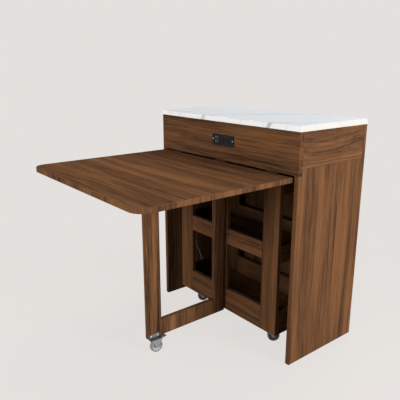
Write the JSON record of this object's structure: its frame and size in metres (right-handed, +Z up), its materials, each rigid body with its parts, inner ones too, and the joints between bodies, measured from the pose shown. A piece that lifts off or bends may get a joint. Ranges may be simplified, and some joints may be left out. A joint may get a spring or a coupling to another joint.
{
  "type": "kitchen table with storage cabinet",
  "caption": "Kitchen table with a stone worktop, a raised wooden drop leaf on a swing gate with a braked caster, and a roll-out storage rack.",
  "frame": {"origin": "on the floor below the middle of the table as it stands with its leaf raised", "axes": "+X to the right as seen from the leaf side, +Y from the leaf to the back panel, +Z up"},
  "size_m": [0.8, 1, 0.895],
  "materials": {
    "walnut": "satin walnut veneer",
    "stone": "polished white marble with grey veins",
    "zinc": "zinc plated",
    "steel": "bright zinc",
    "dark_steel": "blackened",
    "black_plastic": "satin black",
    "grey_tyre": "grey rubber tyre on a light grey core"
  },
  "bodies": {
    "carcass": {"worktop_slab": "stone", "side_panel_left": "walnut", "side_panel_right": "walnut", "side_apron_left": "walnut", "side_apron_right": "walnut", "back_panel": "walnut", "apron_floor": "walnut", "front_apron": "walnut", "slab_batten_front": "walnut", "slab_batten_rear": "walnut", "slab_batten_middle": "walnut", "outlet_bar": "black_plastic", "outlet_screws": "steel", "leaf_hinge_fixed_plates": "dark_steel", "leaf_hinge_pins": "dark_steel", "leaf_hinge_fixed_screws": "dark_steel", "panel_catch": "steel"},
    "leaf": {"leaf_board": "walnut", "leaf_hinge_moving_plates": "dark_steel", "leaf_hinge_moving_screws": "dark_steel"},
    "rack": {"rack_front_stile_left": "walnut", "rack_front_stile_right": "walnut", "rack_front_rail_bottom": "walnut", "rack_front_rail_middle": "walnut", "rack_front_rail_top": "walnut", "rack_front_centres": "walnut", "rack_back_stiles": "walnut", "rack_back_rails": "walnut", "rack_back_centres": "walnut", "rack_sides_bottom": "walnut", "rack_sides_middle": "walnut", "rack_sides_top": "walnut", "rack_shelf_bottom": "walnut", "rack_shelf_middle": "walnut", "rack_shelf_top": "walnut", "rack_caster_plates": "zinc", "rack_caster_screws": "steel", "catch_hook": "steel", "catch_screw_eye": "steel", "gate_tab_lower": "steel", "gate_tab_upper": "steel"},
    "gate": {"gate_board": "walnut", "gate_pivot_pins": "steel", "gate_caster_bracket": "zinc", "gate_bracket_screws": "steel"},
    "gate_fork": {"gate_caster_fork": "zinc", "gate_brake_pin": "steel", "gate_caster_axle": "steel"},
    "gate_wheel": {"gate_caster_wheel": "grey_tyre"},
    "gate_pedal": {"gate_brake_pedal": "black_plastic"},
    "fork_front_left": {"rack_fork_front_left": "zinc"},
    "wheel_front_left": {"rack_wheel_front_left": "grey_tyre"},
    "fork_front_right": {"rack_fork_front_right": "zinc"},
    "wheel_front_right": {"rack_wheel_front_right": "grey_tyre"},
    "fork_back_left": {"rack_fork_back_left": "zinc"},
    "wheel_back_left": {"rack_wheel_back_left": "grey_tyre"},
    "fork_back_right": {"rack_fork_back_right": "zinc"},
    "wheel_back_right": {"rack_wheel_back_right": "grey_tyre"}
  },
  "joints": [
    {"name": "leaf_lift", "type": "hinge", "parent": "carcass", "child": "leaf", "pos_m": [0, 0.1175, 0.7225], "axis": [-1, 0, 0], "range_deg": [0, 80]},
    {"name": "rack_roll", "type": "slide", "parent": "carcass", "child": "rack", "axis": [0, -1, 0], "range_m": [-0.025, 0.4]},
    {"name": "gate_swing", "type": "hinge", "parent": "rack", "child": "gate", "pos_m": [0.0045, 0.132, 0.38], "axis": [0, 0, 1], "range_deg": [-90, 0]},
    {"name": "gate_caster_swivel", "type": "hinge", "parent": "gate", "child": "gate_fork", "pos_m": [0.008, -0.225, 0.06], "axis": [0, 0, 1], "continuous": true},
    {"name": "gate_wheel_spin", "type": "hinge", "parent": "gate_fork", "child": "gate_wheel", "pos_m": [0.008, -0.213, 0.025], "axis": [-1, 0, 0], "continuous": true},
    {"name": "gate_brake_press", "type": "hinge", "parent": "gate_fork", "child": "gate_pedal", "pos_m": [0.008, -0.194, 0.05], "axis": [-1, 0, 0], "range_deg": [0, 10]},
    {"name": "rack_swivel_front_left", "type": "hinge", "parent": "rack", "child": "fork_front_left", "pos_m": [-0.229, 0.19, 0.06], "axis": [0, 0, 1], "continuous": true},
    {"name": "rack_spin_front_left", "type": "hinge", "parent": "fork_front_left", "child": "wheel_front_left", "pos_m": [-0.21641, 0.20554, 0.025], "axis": [-0.7771, 0.6293, 0], "continuous": true},
    {"name": "rack_swivel_front_right", "type": "hinge", "parent": "rack", "child": "fork_front_right", "pos_m": [0.229, 0.19, 0.06], "axis": [0, 0, 1], "continuous": true},
    {"name": "rack_spin_front_right", "type": "hinge", "parent": "fork_front_right", "child": "wheel_front_right", "pos_m": [0.24159, 0.20554, 0.025], "axis": [-0.7771, 0.6293, 0], "continuous": true},
    {"name": "rack_swivel_back_left", "type": "hinge", "parent": "rack", "child": "fork_back_left", "pos_m": [-0.229, 0.404, 0.06], "axis": [0, 0, 1], "continuous": true},
    {"name": "rack_spin_back_left", "type": "hinge", "parent": "fork_back_left", "child": "wheel_back_left", "pos_m": [-0.21641, 0.41954, 0.025], "axis": [-0.7771, 0.6293, 0], "continuous": true},
    {"name": "rack_swivel_back_right", "type": "hinge", "parent": "rack", "child": "fork_back_right", "pos_m": [0.229, 0.404, 0.06], "axis": [0, 0, 1], "continuous": true},
    {"name": "rack_spin_back_right", "type": "hinge", "parent": "fork_back_right", "child": "wheel_back_right", "pos_m": [0.24159, 0.41954, 0.025], "axis": [-0.7771, 0.6293, 0], "continuous": true}
  ]
}
